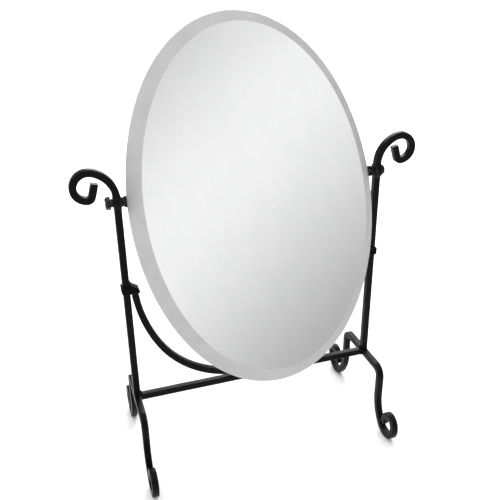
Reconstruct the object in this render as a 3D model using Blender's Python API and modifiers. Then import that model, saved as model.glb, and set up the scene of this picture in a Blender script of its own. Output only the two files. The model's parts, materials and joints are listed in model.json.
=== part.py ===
"""Countertop mirror: a bevelled oval glass that tilts in a wrought-iron stand of square bar.

Metres, +Z up, +Y away from the viewer. The origin is on the surface that the stand rests on,
midway between the four feet. Each named object is one separate piece.
"""

import math

import bmesh
import bpy
from mathutils import Matrix, Vector

# Stand
GAP = 0.0003  # clearance kept between pieces that touch
BAR = 0.0079  # side of the square bar
BAR_CHAMFER = 0.0011
POST_X = 0.150  # upright's centre line, from the middle of the stand
CROSSBAR_TO_PIVOT = 0.2500
CROSSBAR_TO_COLLAR = 0.1470
CHORD_ERROR = 0.00008  # how far a bend's straight facets may stray from its arc

# Half of the bow, from the middle outwards and up: ("line", length) or ("arc", radius, degrees)
BOW_HALF_PATH = (
    ("arc", 0.200, 10.0),
    ("arc", 0.120, 50.0),
    ("arc", 0.179, 22.0),
    ("line", 0.012),
)

# Half of a leg bar, from the crossbar's level outwards and down
LEG_REACH = 0.0475
LEG_BEND = 0.011
FOOT_FACET = 10.8  # degrees; four and a half of these leave a level facet under the scroll
LEG_HALF_PATH = (
    ("line", LEG_REACH - LEG_BEND),
    ("arc", LEG_BEND, -90.0),
    ("line", 0.02683),
    ("arc", 0.052, 90.0 - 4.5 * FOOT_FACET),
    ("arc", 0.018, 14 * FOOT_FACET),
    ("arc", 0.0105, 150.0),
    ("line", 0.0105),
)

# Upright's scroll, from the pivot upwards and out to the side
SCROLL_PATH = (
    ("arc", 0.032, -72.0),
    ("arc", 0.0158, -108.0),
    ("arc", 0.0139, -88.0),
    ("arc", 0.0047, -76.0),
    ("line", 0.0146),
)
SCROLL_STARTS = {"left": 0.0045, "right": 0.0080}  # straight bar above the pivot, bent by hand

# Eye that the pivot screw turns in, forged into the upright
EYE_RADIUS = 0.0082
EYE_THICKNESS = 0.0085

# Collar that bands the bow to the upright
COLLAR_HEIGHT = 0.0095
COLLAR_WALL = 0.0013
COLLAR_SHOULDER = 0.0038  # height lost by the top at its sloping inner corner

# Mirror, in its own plane: X across, Z up the glass, -Y out of its face
TILT = math.radians(23.6)  # top leaned back
GLASS_HALF_WIDTH = 0.140
GLASS_HALF_HEIGHT = 0.205
GLASS_DROP = 0.0133  # glass centre below the pivot axis
GLASS_THICKNESS = 0.006
GLASS_FRONT = 0.003  # front face ahead of the pivot axis
BEVEL_WIDTH = 0.013
BEVEL_RISE = 0.0042
BEVEL_OFFSET = 0.0035  # the flat face sits this far to the right, so the left bevel is wider
TAPE_THICKNESS = 0.001
BOARD_THICKNESS = 0.005
BOARD_INSET = 0.007  # board edge inside the glass edge
TAPE_WIDTH = 0.020
TAPES = (("left", -0.085, 0.160), ("middle", 0.0, 0.300), ("right", 0.085, 0.160))  # x, length
OVAL_SEGMENTS = 96

# Pivot hardware, as distances out from the middle of the stand
STRAP = 0.0016  # bracket's sheet thickness
STRAP_WIDTH = 0.012
TAB_INNER = 0.1404
BRACKET_LENGTH = 0.045
BRACKET_TIP = 0.0058  # corner radius of the bracket's two ends
SCREW_OUTS = (0.104, 0.122)  # bracket screws, from the middle of the mirror
SCREW_SHANK = 0.0015
SCREW_HEAD = 0.0033
SCREW_HEAD_HEIGHT = 0.0019
SCREW_CROWN = 0.0018  # radius of the flat on top of a bracket screw's head
SCREW_SHOULDER = (0.0030, 0.0011)  # radius and height where the head starts to round over
STRAP_HOLE = 0.0020
BOARD_HOLE = 0.0018
BOARD_SKIN = 0.0012  # board left in front of a screw hole
SHANK_RADIUS = 0.0029
SHANK_HOLE = 0.0032
BUSH_RADIUS = 0.0050
FRICTION_WASHER = 0.0008
FRICTION_RADIUS = 0.0052
SPRING_WASHERS = {"left": 0.0018, "right": 0.0008}  # the right one is screwed up flat
SPRING_RADIUS = 0.0046
HEADS_ACROSS_FLATS = {"left": 0.0127, "right": 0.0105}
HEAD_LENGTHS = {"left": 0.0058, "right": 0.0022}
HEAD_CHAMFER = 0.0011
HEAD_TURN = math.radians(-12.6)  # how far round the heads have been left
TURNED_SEGMENTS = 24
SCREW_SEGMENTS = 12


def bend_path(start, heading, moves):
    """Points of a plane path made of straight runs and arcs; a positive arc turns left."""
    points = [Vector(start)]
    angle = math.radians(heading)
    for kind, size, *turn in moves:
        if kind == "line":
            points.append(points[-1] + size * Vector((math.cos(angle), math.sin(angle))))
            continue
        side = math.copysign(1.0, turn[0])
        centre = points[-1] + size * side * Vector((-math.sin(angle), math.cos(angle)))
        facet = 2 * math.degrees(math.acos(1 - CHORD_ERROR / size))
        steps = max(1, round(abs(turn[0]) / facet))
        for step in range(1, steps + 1):
            now = angle + math.radians(turn[0]) * step / steps
            points.append(centre + size * side * Vector((math.sin(now), -math.cos(now))))
        angle += math.radians(turn[0])
    return points


LEG_HALF = bend_path((0.0, 0.0), 0.0, LEG_HALF_PATH)
FOOT_DEPTH = BAR / 2 * math.cos(math.radians(FOOT_FACET / 2))  # of a facet under its arc
CROSSBAR_Z = FOOT_DEPTH - min(point.y for point in LEG_HALF)
PIVOT_Z = CROSSBAR_Z + CROSSBAR_TO_PIVOT
COLLAR_Z = CROSSBAR_Z + CROSSBAR_TO_COLLAR
TAB_OUTER = TAB_INNER + STRAP
BOW_HALF = bend_path((0.0, CROSSBAR_Z + BAR + GAP), 0.0, BOW_HALF_PATH)
BOW_LEAN = math.radians(90.0 - sum(turn[0] for kind, size, *turn in BOW_HALF_PATH if turn))
EYE_INNER = POST_X - EYE_THICKNESS / 2
EYE_OUTER = POST_X + EYE_THICKNESS / 2
GLASS_BACK = GLASS_THICKNESS - GLASS_FRONT
TAPE_FRONT = GLASS_BACK + GAP
BOARD_FRONT = TAPE_FRONT + TAPE_THICKNESS + GAP
BOARD_BACK = BOARD_FRONT + BOARD_THICKNESS
STRAP_FRONT = BOARD_BACK + GAP
STRAP_BACK = STRAP_FRONT + STRAP


def clear_scene():
    for old in list(bpy.data.objects):
        bpy.data.objects.remove(old, do_unlink=True)


def new_collection(name, hidden=False):
    collection = bpy.data.collections.new(name)
    bpy.context.scene.collection.children.link(collection)
    collection.hide_render = hidden
    return collection


def surface(name, colour, roughness, metallic):
    material = bpy.data.materials.new(name)
    material.use_nodes = True
    shader = material.node_tree.nodes["Principled BSDF"]
    shader.inputs["Base Color"].default_value = (*colour, 1.0)
    shader.inputs["Roughness"].default_value = roughness
    shader.inputs["Metallic"].default_value = metallic
    material.diffuse_color = (*colour, 1.0)
    return material


clear_scene()
PARTS = new_collection("countertop_mirror")
CUTTERS = new_collection("cutters", hidden=True)
BLACK_IRON = surface("black_iron", (0.018, 0.018, 0.019), 0.42, 0.3)
BLACK_STEEL = surface("black_steel", (0.025, 0.025, 0.026), 0.35, 0.6)
ZINC_STEEL = surface("zinc_steel", (0.42, 0.42, 0.41), 0.35, 1.0)
FIBRE = surface("fibre_washer", (0.012, 0.010, 0.009), 0.7, 0.0)
SILVERED_GLASS = surface("silvered_glass", (0.86, 0.87, 0.88), 0.04, 1.0)
BLACK_BOARD = surface("black_board", (0.022, 0.021, 0.020), 0.75, 0.0)
FOAM_TAPE = surface("foam_tape", (0.62, 0.62, 0.60), 0.9, 0.0)


def add(name, data, material, parent=None):
    piece = bpy.data.objects.new(name, data)
    PARTS.objects.link(piece)
    piece.parent = parent
    if material and not data.materials:
        data.materials.append(material)
    return piece


def add_cutter(name, mesh, parent=None):
    cutter = bpy.data.objects.new(name, mesh)
    CUTTERS.objects.link(cutter)
    cutter.parent = parent
    cutter.hide_render = True
    cutter.display_type = "WIRE"
    return cutter


def mesh_from(name, build):
    """Runs build(bm) on an empty bmesh and returns the mesh."""
    bm = bmesh.new()
    build(bm)
    bmesh.ops.recalc_face_normals(bm, faces=bm.faces)
    mesh = bpy.data.meshes.new(name)
    bm.to_mesh(mesh)
    bm.free()
    mesh.shade_smooth()
    mesh.set_sharp_from_angle(angle=math.radians(30))
    return mesh


def rod_mesh(name, radius, start, end, segments=TURNED_SEGMENTS, across=None):
    """A rod along X from start to end; across turns it to lie along another axis."""
    turn = across or Matrix.Rotation(math.radians(90), 4, "Y")

    def build(bm):
        place = Matrix.Translation((0.0, 0.0, (start + end) / 2))
        bmesh.ops.create_cone(bm, cap_ends=True, segments=segments, radius1=radius,
                              radius2=radius, depth=abs(end - start), matrix=turn @ place)

    return mesh_from(name, build)


def boolean(piece, operation, other):
    modifier = piece.modifiers.new(operation.lower() + "_" + other.name, "BOOLEAN")
    modifier.operation = operation
    modifier.object = other
    modifier.solver = "EXACT"


def turned(name, profile, material, parent, side):
    """A ring turned about the X axis from (distance out, radius) points, mirrored for side -1.

    The profile runs down its outer side and back up its bore.
    """
    mesh = bpy.data.meshes.new(name)
    count = len(profile)
    points = [(radius, 0.0, out) for out, radius in profile]
    mesh.from_pydata(points, [(i, (i + 1) % count) for i in range(count)], [])
    piece = add(name, mesh, material, parent)
    piece.rotation_euler = (0.0, math.radians(90) * side, 0.0)
    screw = piece.modifiers.new("turn", "SCREW")
    screw.axis = "Z"
    screw.steps = TURNED_SEGMENTS
    screw.render_steps = TURNED_SEGMENTS
    screw.use_merge_vertices = True
    screw.merge_threshold = 0.00001
    screw.use_smooth_shade = False
    return piece


# ---------------------------------------------------------------- bars

def bar_section():
    """The bar's section, a square with chamfered corners, as a closed guide curve."""
    half = BAR / 2
    flat = half - BAR_CHAMFER
    corners = []
    for quarter in range(4):
        turn = Matrix.Rotation(math.radians(90 * quarter), 2)
        corners += [turn @ Vector((half, -flat)), turn @ Vector((half, flat))]
    curve = bpy.data.curves.new("bar_section", "CURVE")
    curve.dimensions = "2D"
    curve.fill_mode = "NONE"
    spline = curve.splines.new("POLY")
    spline.points.add(len(corners) - 1)
    for point, corner in zip(spline.points, reversed(corners)):
        point.co = (corner.x, corner.y, 0.0, 1.0)
    spline.use_cyclic_u = True
    return add_cutter("bar_section", curve)


BAR_SECTION = bar_section()


def bent_bar(name, points, plane):
    """A bar along plane points; plane places the path's own XY plane in the stand."""
    curve = bpy.data.curves.new(name, "CURVE")
    curve.dimensions = "3D"
    curve.twist_mode = "Z_UP"
    curve.bevel_mode = "OBJECT"
    curve.bevel_object = BAR_SECTION
    curve.use_fill_caps = True
    spline = curve.splines.new("POLY")
    spline.points.add(len(points) - 1)
    for point, place in zip(spline.points, points):
        point.co = (place.x, place.y, 0.0, 1.0)
    bar = add(name, curve, BLACK_IRON)
    bar.matrix_world = plane
    return bar


def as_mesh(bar):
    """The same bar as a mesh object with welded caps, ready for a Boolean."""
    bpy.context.view_layer.update()
    evaluated = bar.evaluated_get(bpy.context.evaluated_depsgraph_get())
    mesh = bpy.data.meshes.new_from_object(evaluated)
    name, place = bar.name, bar.matrix_world.copy()
    bpy.data.objects.remove(bar, do_unlink=True)
    bm = bmesh.new()
    bm.from_mesh(mesh)
    bmesh.ops.remove_doubles(bm, verts=bm.verts, dist=0.00001)
    bmesh.ops.recalc_face_normals(bm, faces=bm.faces)
    bm.to_mesh(mesh)
    bm.free()
    solid = add(name, mesh, BLACK_IRON)
    solid.matrix_world = place
    return solid


def front_plane(side=1):
    """Path X outwards along the stand's width, path Y up; side -1 mirrors it to the left."""
    return Matrix(((side, 0, 0, 0), (0, 0, -side, 0), (0, 1, 0, 0), (0, 0, 0, 1)))


def side_plane(x):
    """Path X along the stand's depth, path Y up, at the given distance to the side."""
    return Matrix(((0, 0, 1, x), (1, 0, 0, 0), (0, 1, 0, 0), (0, 0, 0, 1)))


def upright(name, side, scroll_start):
    foot = CROSSBAR_Z + BAR / 2 + GAP
    rise = ("line", PIVOT_Z + scroll_start - foot)
    points = bend_path((POST_X, foot), 90.0, (rise, *SCROLL_PATH))
    bar = as_mesh(bent_bar(name, points, front_plane(side)))
    eye = rod_mesh(name + "_eye", EYE_RADIUS, side * EYE_INNER, side * EYE_OUTER)
    hole = rod_mesh(name + "_hole", SHANK_HOLE, side * (EYE_INNER - BAR), side * (EYE_OUTER + BAR))
    for mesh, operation in ((eye, "UNION"), (hole, "DIFFERENCE")):
        tool = add_cutter(mesh.name, mesh)
        tool.location = (0.0, 0.0, PIVOT_Z)
        boolean(bar, operation, tool)
    return bar


def both_halves(half):
    """The whole path of a bar from its half, which starts in the middle and heads out along X."""
    return [Vector((-point.x, point.y)) for point in reversed(half[1:])] + half[1:]


def leg_bar(name, side):
    path = [point + Vector((0.0, CROSSBAR_Z)) for point in both_halves(LEG_HALF)]
    return bent_bar(name, path, side_plane(side * POST_X))


def crossbar():
    half = POST_X - BAR / 2 - GAP
    points = [Vector((-half, CROSSBAR_Z)), Vector((half, CROSSBAR_Z))]
    return bent_bar("crossbar", points, front_plane())


def bow_brace():
    """A hand-bent arch, upside down: it rests on the crossbar and stands up into both collars."""
    return bent_bar("bow_brace", both_halves(BOW_HALF), front_plane())


def block(size, chamfer=0.0, slope=None):
    """A box mesh about its own centre; slope is a cutting plane that its top is planed down to."""
    def build(bm):
        bmesh.ops.create_cube(bm, size=1.0, matrix=Matrix.Diagonal((*size, 1.0)))
        if slope:
            point, normal = slope
            everything = bm.verts[:] + bm.edges[:] + bm.faces[:]
            cut = bmesh.ops.bisect_plane(bm, geom=everything, plane_co=point, plane_no=normal,
                                         clear_outer=True)
            rim = [item for item in cut["geom_cut"] if isinstance(item, bmesh.types.BMEdge)]
            bmesh.ops.holes_fill(bm, edges=rim)
        if chamfer:
            bmesh.ops.bevel(bm, geom=bm.edges[:], offset=chamfer, segments=1, affect="EDGES",
                            clamp_overlap=True)
    return build


def collar(name, side):
    """A forged collar: the upright runs through it, and the bow's end is capped inside it."""
    slot = BAR + 2 * GAP
    bottom = COLLAR_Z - COLLAR_HEIGHT / 2
    end = BOW_HALF[-1]
    bow_inner = end.x - (end.y - bottom) * math.tan(BOW_LEAN) - BAR / 2 / math.cos(BOW_LEAN) - GAP
    bow_top = end.y + BAR / 2 * math.sin(BOW_LEAN) + GAP
    inner = bow_inner - COLLAR_WALL
    outer = POST_X + slot / 2 + COLLAR_WALL
    size = Vector((outer - inner, slot + 2 * COLLAR_WALL, COLLAR_HEIGHT))
    corner = Vector((-side * size.x / 2, 0.0, size.z / 2 - COLLAR_SHOULDER))
    normal = Vector((-side * COLLAR_SHOULDER, 0.0, size.x / 2))
    band = add(name, mesh_from(name, block(size, BAR_CHAMFER, (corner, normal))), BLACK_IRON)
    band.location = (side * (inner + outer) / 2, 0.0, COLLAR_Z)
    for bar, near, far, top in (
        ("upright", POST_X - slot / 2, POST_X + slot / 2, COLLAR_Z + COLLAR_HEIGHT),
        ("bow", bow_inner, POST_X, bow_top),
    ):
        depth = top - (COLLAR_Z - COLLAR_HEIGHT)
        mesh = mesh_from(f"{name}_{bar}_slot", block((far - near, slot, depth)))
        cutter = add_cutter(mesh.name, mesh)
        cutter.location = (side * (near + far) / 2, 0.0, top - depth / 2)
        boolean(band, "DIFFERENCE", cutter)
    return band


# ---------------------------------------------------------------- mirror

def tilt_frame():
    """The mirror's frame: its origin is on the pivot axis and it leans back by TILT."""
    frame = bpy.data.objects.new("mirror_tilt", None)
    PARTS.objects.link(frame)
    frame.location = (0.0, 0.0, PIVOT_Z)
    frame.rotation_euler = (-TILT, 0.0, 0.0)
    return frame


def oval_ring(bm, half_width, half_height, y, shift=0.0):
    ring = []
    for step in range(OVAL_SEGMENTS):
        angle = 2 * math.pi * step / OVAL_SEGMENTS
        x = shift + half_width * math.cos(angle)
        z = half_height * math.sin(angle) - GLASS_DROP
        ring.append(bm.verts.new((x, y, z)))
    return ring


def oval_slab(name, rings):
    """A closed slab lofted through (half width, half height, y, shift) ovals, front to back."""
    def build(bm):
        loops = [oval_ring(bm, *ring) for ring in rings]
        bm.faces.new(loops[0])
        bm.faces.new(reversed(loops[-1]))
        for near, far in zip(loops, loops[1:]):
            for i in range(OVAL_SEGMENTS):
                j = (i + 1) % OVAL_SEGMENTS
                bm.faces.new((near[i], far[i], far[j], near[j]))
    return mesh_from(name, build)


def glass(frame):
    land = BEVEL_RISE - GLASS_FRONT
    face = (GLASS_HALF_WIDTH - BEVEL_WIDTH, GLASS_HALF_HEIGHT - BEVEL_WIDTH)
    rim = (GLASS_HALF_WIDTH, GLASS_HALF_HEIGHT)
    rings = ((*face, -GLASS_FRONT, BEVEL_OFFSET), (*rim, land, 0.0), (*rim, GLASS_BACK, 0.0))
    return add("mirror_glass", oval_slab("mirror_glass", rings), SILVERED_GLASS, frame)


def backing_board(frame):
    size = (GLASS_HALF_WIDTH - BOARD_INSET, GLASS_HALF_HEIGHT - BOARD_INSET)
    mesh = oval_slab("backing_board", ((*size, BOARD_FRONT, 0.0), (*size, BOARD_BACK, 0.0)))
    board = add("backing_board", mesh, BLACK_BOARD, frame)
    for side in (-1, 1):
        drill_holes(board, frame, side, BOARD_HOLE, BOARD_FRONT + BOARD_SKIN, BOARD_BACK + STRAP)


def drill_holes(piece, frame, side, radius, start, end):
    """Holes along the mirror's depth for one bracket's screws."""
    along_y = Matrix.Rotation(math.radians(-90), 4, "X")
    for out in SCREW_OUTS:
        name = f"{piece.name}_hole_{side}_{round(out * 1000)}"
        cutter = add_cutter(name, rod_mesh(name, radius, start, end, SCREW_SEGMENTS, along_y), frame)
        cutter.location = (side * out, 0.0, 0.0)
        boolean(piece, "DIFFERENCE", cutter)


def bonding_tape(name, frame, x, length):
    mesh = mesh_from(name, block((TAPE_WIDTH, TAPE_THICKNESS, length)))
    tape = add(name, mesh, FOAM_TAPE, frame)
    tape.location = (x, TAPE_FRONT + TAPE_THICKNESS / 2, -GLASS_DROP)


def bracket(name, frame, side):
    """A bent strap: a tab at the glass edge with the pivot hole, and a leg screwed to the board."""
    half = STRAP_WIDTH / 2
    leg_end = TAB_OUTER - BRACKET_LENGTH
    outline = (
        (TAB_OUTER, -half), (TAB_OUTER, STRAP_FRONT), (TAB_INNER, STRAP_BACK),
        (leg_end, STRAP_BACK), (leg_end, STRAP_FRONT), (TAB_INNER, STRAP_FRONT),
        (TAB_INNER, -half),
    )

    def build(bm):
        low = [bm.verts.new((side * x, y, -half)) for x, y in outline]
        face = bm.faces.new(low)
        grown = bmesh.ops.extrude_face_region(bm, geom=[face])["geom"]
        top = [item for item in grown if isinstance(item, bmesh.types.BMVert)]
        bmesh.ops.translate(bm, verts=top, vec=(0.0, 0.0, STRAP_WIDTH))
        corners = []
        for edge in bm.edges:
            first, second = (vert.co for vert in edge.verts)
            across = abs(first.z - second.z) < GAP
            on_tab = max(first.y, second.y) < GAP - half
            on_leg = max(abs(first.x), abs(second.x)) < leg_end + GAP
            if across and (on_tab or on_leg):
                corners.append(edge)
        bmesh.ops.bevel(bm, geom=corners, offset=BRACKET_TIP, segments=5, affect="EDGES",
                        profile=0.5)

    strap = add(name, mesh_from(name, build), BLACK_STEEL, frame)
    hole = rod_mesh(name + "_pivot", SHANK_HOLE, side * (TAB_INNER - BAR), side * (TAB_OUTER + BAR))
    boolean(strap, "DIFFERENCE", add_cutter(name + "_pivot", hole, frame))
    drill_holes(strap, frame, side, STRAP_HOLE, STRAP_FRONT - STRAP, STRAP_BACK + STRAP)


def bracket_screw(name, frame, side, out):
    """A pan-head screw from the back, through the strap and into the board."""
    seat = STRAP_BACK + GAP
    top = seat + SCREW_HEAD_HEIGHT
    shoulder, rise = SCREW_SHOULDER
    tip = BOARD_FRONT + BOARD_SKIN + GAP
    profile = (
        (top, 0.0), (top, SCREW_CROWN), (seat + rise, shoulder), (seat, SCREW_HEAD),
        (seat, SCREW_SHANK), (tip + SCREW_SHANK, SCREW_SHANK), (tip, 0.0),
    )
    mesh = bpy.data.meshes.new(name)
    points = [(radius, 0.0, depth) for depth, radius in profile]
    mesh.from_pydata(points, [(i, i + 1) for i in range(len(points) - 1)], [])
    screw = add(name, mesh, ZINC_STEEL, frame)
    screw.location = (side * out, 0.0, 0.0)
    screw.rotation_euler = (math.radians(-90), 0.0, 0.0)
    turn = screw.modifiers.new("turn", "SCREW")
    turn.axis = "Z"
    turn.steps = SCREW_SEGMENTS
    turn.render_steps = SCREW_SEGMENTS
    turn.use_merge_vertices = True
    turn.merge_threshold = 0.00001


def pivot_stack(side_name, frame, side, washer):
    """Bush and washers on the pivot screw, from the bracket's tab out to the screw's head."""
    bush_in = TAB_OUTER + GAP
    bush_out = EYE_INNER - GAP - FRICTION_WASHER - GAP
    bore = SHANK_HOLE
    for name, inner, thickness, radius, material in (
        ("_pivot_bush", bush_in, bush_out - bush_in, BUSH_RADIUS, BLACK_STEEL),
        ("_friction_washer", bush_out + GAP, FRICTION_WASHER, FRICTION_RADIUS, FIBRE),
        ("_spring_washer", EYE_OUTER + GAP, washer, SPRING_RADIUS, BLACK_STEEL),
    ):
        outer = inner + thickness
        ring = ((outer, radius), (inner, radius), (inner, bore), (outer, bore))
        turned(side_name + name, ring, material, frame, side)


def pivot_knob(name, frame, side, washer, length, flats):
    """The hexagon head and its shank, which runs through the eye to the bracket's tab."""
    seat = EYE_OUTER + GAP + washer + GAP
    corner = flats / math.sqrt(3)

    def build(bm):
        loops = []
        for out, reach in (
            (seat, corner), (seat + length - HEAD_CHAMFER, corner),
            (seat + length, corner - HEAD_CHAMFER),
        ):
            angles = [HEAD_TURN + math.radians(60 * step + 30) for step in range(6)]
            loops.append([bm.verts.new((side * out, -reach * math.cos(angle),
                                        reach * math.sin(angle))) for angle in angles])
        bm.faces.new(loops[0])
        bm.faces.new(loops[-1])
        for near, far in zip(loops, loops[1:]):
            for i in range(6):
                j = (i + 1) % 6
                bm.faces.new((near[i], near[j], far[j], far[i]))

    knob = add(name, mesh_from(name, build), BLACK_STEEL, frame)
    shank_end = side * (seat + length / 2)
    shank = rod_mesh(name + "_shank", SHANK_RADIUS, side * (TAB_INNER + GAP), shank_end)
    boolean(knob, "UNION", add_cutter(name + "_shank", shank, frame))


def build_stand():
    for side_name, side in (("left", -1), ("right", 1)):
        upright(side_name + "_upright", side, SCROLL_STARTS[side_name])
        leg_bar(side_name + "_leg_bar", side)
        collar(side_name + "_collar", side)
    crossbar()
    bow_brace()


def build_mirror():
    frame = tilt_frame()
    glass(frame)
    backing_board(frame)
    for place, x, length in TAPES:
        bonding_tape("bonding_tape_" + place, frame, x, length)
    for side_name, side in (("left", -1), ("right", 1)):
        bracket(side_name + "_bracket", frame, side)
        for place, out in zip(("inner", "outer"), SCREW_OUTS):
            bracket_screw(f"{side_name}_bracket_screw_{place}", frame, side, out)
        washer = SPRING_WASHERS[side_name]
        pivot_stack(side_name, frame, side, washer)
        pivot_knob(side_name + "_pivot_knob", frame, side, washer, HEAD_LENGTHS[side_name],
                   HEADS_ACROSS_FLATS[side_name])


build_stand()
build_mirror()
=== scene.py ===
import json
import math

import bmesh
import bpy
from mathutils import Matrix, Vector, noise

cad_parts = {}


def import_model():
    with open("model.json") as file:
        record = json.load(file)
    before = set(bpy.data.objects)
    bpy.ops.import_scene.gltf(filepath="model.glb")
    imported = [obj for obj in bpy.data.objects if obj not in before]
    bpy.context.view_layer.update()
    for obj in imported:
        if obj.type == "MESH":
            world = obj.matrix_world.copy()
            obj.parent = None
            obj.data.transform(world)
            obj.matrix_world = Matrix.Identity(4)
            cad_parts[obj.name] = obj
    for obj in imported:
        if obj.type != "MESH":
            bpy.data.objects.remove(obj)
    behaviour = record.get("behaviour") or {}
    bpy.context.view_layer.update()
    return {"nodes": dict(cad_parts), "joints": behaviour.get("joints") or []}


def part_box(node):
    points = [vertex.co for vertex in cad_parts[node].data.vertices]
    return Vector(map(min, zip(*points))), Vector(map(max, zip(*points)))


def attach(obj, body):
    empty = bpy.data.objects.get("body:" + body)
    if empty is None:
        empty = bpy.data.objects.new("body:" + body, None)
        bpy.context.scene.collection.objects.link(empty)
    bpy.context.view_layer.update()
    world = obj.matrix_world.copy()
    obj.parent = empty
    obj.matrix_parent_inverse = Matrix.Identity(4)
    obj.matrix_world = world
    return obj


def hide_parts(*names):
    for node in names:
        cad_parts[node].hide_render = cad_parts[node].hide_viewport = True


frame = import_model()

# ------------------------------------------------------------------ sizes, in metres
GAP = 0.0003  # between pieces that touch
BAR = 0.0079  # side of the square bar
BAR_ROUND = 0.0011  # radius along the bar's corners
BAR_CHAMFER = 0.0006  # at the bar's ends
PITCH, FINE_PITCH = 0.0009, 0.0007  # spacing of a bar's sections, and of an upright's
POST_X = 0.150  # middle of an upright
PIVOT = Vector(frame["joints"][0]["pos_m"])  # middle of the pivot axis
TILT = math.radians(23.6)  # how far the mirror leans back at rest
CROSSBAR_Z = sum(corner.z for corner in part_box("crossbar")) / 2
COLLAR_Z = CROSSBAR_Z + 0.1470

# Bent bars: ("line", length) and ("arc", radius, degrees to the left), from their start
FOOT_FACET = 10.8
LEG_HALF = (
    ("line", 0.0365), ("arc", 0.011, -90.0), ("line", 0.02683),
    ("arc", 0.052, 90.0 - 4.5 * FOOT_FACET), ("arc", 0.018, 14 * FOOT_FACET),
    ("arc", 0.0105, 150.0), ("line", 0.0105),
)
BOW_HALF = (("arc", 0.200, 10.0), ("arc", 0.120, 50.0), ("arc", 0.179, 22.0), ("line", 0.012))
SCROLL = (
    ("arc", 0.032, -72.0), ("arc", 0.0158, -108.0), ("arc", 0.0139, -88.0),
    ("arc", 0.0047, -76.0), ("line", 0.0146),
)
SCROLL_STARTS = {"left": 0.0045, "right": 0.0080}  # straight bar above the pivot

EYE_RADIUS = 0.0082
EYE_HALF = 0.00425  # half the eye's thickness along the axis
SHANK = 0.0029  # radius of a pivot screw
SHANK_HOLE = 0.0032
WASHER_HOLE = 0.0033
HEAD_TURN = math.radians(-12.6)
HEADS_ACROSS_FLATS = {"left": 0.0127, "right": 0.0105}
HEAD_LENGTHS = {"left": 0.0058, "right": 0.0022}

# The mirror's own frame has x along the pivot axis, y backwards and z up the glass
GLASS_HALF_WIDTH = 0.140
GLASS_HALF_HEIGHT = 0.205
GLASS_DROP = 0.0133  # from the pivot axis down to the middle of the glass
GLASS_FRONT, GLASS_BACK = -0.0030, 0.0030
BEVEL_WIDTH = 0.013
BEVEL_RISE = 0.0042
BEVEL_OFFSET = 0.0035  # the flat face sits this far to the right of the middle
BOARD_FRONT, BOARD_BACK, BOARD_INSET = 0.0046, 0.0096, 0.007
BOARD_HOLE = 0.0018
STRAP_FRONT, STRAP_BACK = 0.0099, 0.0115
STRAP_HALF = 0.006  # half the strap's width
STRAP_BEND = 0.0026
STRAP_REACH = 0.0442  # from the tab to the end of the leg behind the board
STRAP_HOLE = 0.0020
TAB_INNER, TAB_OUTER = 0.1404, 0.1420
SCREW_OUTS = (0.104, 0.122)  # the strap's screws, from the middle


# ------------------------------------------------------------------ mesh helpers
def object_from(bm, name):
    """A linked object with the mesh of bm, which is freed."""
    mesh = bpy.data.meshes.new(name)
    bm.to_mesh(mesh)
    bm.free()
    made = bpy.data.objects.new(name, mesh)
    bpy.context.scene.collection.objects.link(made)
    return made


def piece_from(bm, name, material, body, replaces=(), sharp=35.0):
    """A finished piece: smooth apart from edges that turn more than sharp degrees."""
    bmesh.ops.recalc_face_normals(bm, faces=bm.faces)
    piece = object_from(bm, name)
    piece.data.shade_smooth()
    piece.data.set_sharp_from_angle(angle=math.radians(sharp))
    piece.data.materials.append(material)
    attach(piece, body)
    if replaces:
        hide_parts(*replaces)
    return piece


def applied(piece):
    """The piece's mesh with its modifiers applied, as new data."""
    bpy.context.view_layer.update()
    graph = bpy.context.evaluated_depsgraph_get()
    return bpy.data.meshes.new_from_object(piece.evaluated_get(graph))


def carve(piece, cutter):
    """Takes the cutter's solid out of the piece."""
    tool = object_from(cutter, "cutter")
    cut = piece.modifiers.new("cut", "BOOLEAN")
    cut.operation = "DIFFERENCE"
    cut.solver = "EXACT"
    cut.object = tool
    shaped = applied(piece)
    piece.modifiers.clear()
    old, spent = piece.data, tool.data
    piece.data = shaped
    shaped.name = old.name
    bpy.data.objects.remove(tool, do_unlink=True)
    for mesh in (old, spent):
        bpy.data.meshes.remove(mesh)


def drill(piece, radius, start, end, segments):
    """Cuts a round hole through the piece, from the start point to the end point."""
    axis = Vector(end) - Vector(start)
    turn = axis.to_track_quat("Z", "Y").to_matrix().to_4x4()
    middle = (Vector(start) + Vector(end)) / 2
    cutter = bmesh.new()
    bmesh.ops.create_cone(cutter, cap_ends=True, segments=segments, radius1=radius,
                          radius2=radius, depth=axis.length,
                          matrix=Matrix.Translation(middle) @ turn)
    carve(piece, cutter)


def skin(bm, rings, closed=False):
    """Faces between rings of the same length, with a fan over both ends unless closed."""
    count = len(rings[0])
    pairs = list(zip(rings, rings[1:]))
    if closed:
        pairs.append((rings[-1], rings[0]))
    for near, far in pairs:
        for i in range(count):
            j = (i + 1) % count
            bm.faces.new((near[i], near[j], far[j], far[i]))
    if not closed:
        for ring in (rings[0], rings[-1]):
            middle = sum((vert.co for vert in ring), Vector()) / count
            centre = bm.verts.new(middle)
            for i in range(count):
                bm.faces.new((ring[i], ring[(i + 1) % count], centre))


def section(half_a, half_b, radius, arc=4, flat=2):
    """A rounded rectangle as (a, b) points."""
    corners = ((1, 1), (-1, 1), (-1, -1), (1, -1))

    def on_corner(corner, quarters):
        angle = math.radians(90 * quarters)
        return (corner[0] * (half_a - radius) + radius * math.cos(angle),
                corner[1] * (half_b - radius) + radius * math.sin(angle))

    points = []
    for quarter, corner in enumerate(corners):
        points += [on_corner(corner, quarter + step / arc) for step in range(arc + 1)]
        here = points[-1]
        there = on_corner(corners[(quarter + 1) % 4], quarter + 1)
        for step in range(1, flat + 1):
            share = step / (flat + 1)
            points.append(tuple(a + share * (b - a) for a, b in zip(here, there)))
    return points


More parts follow.
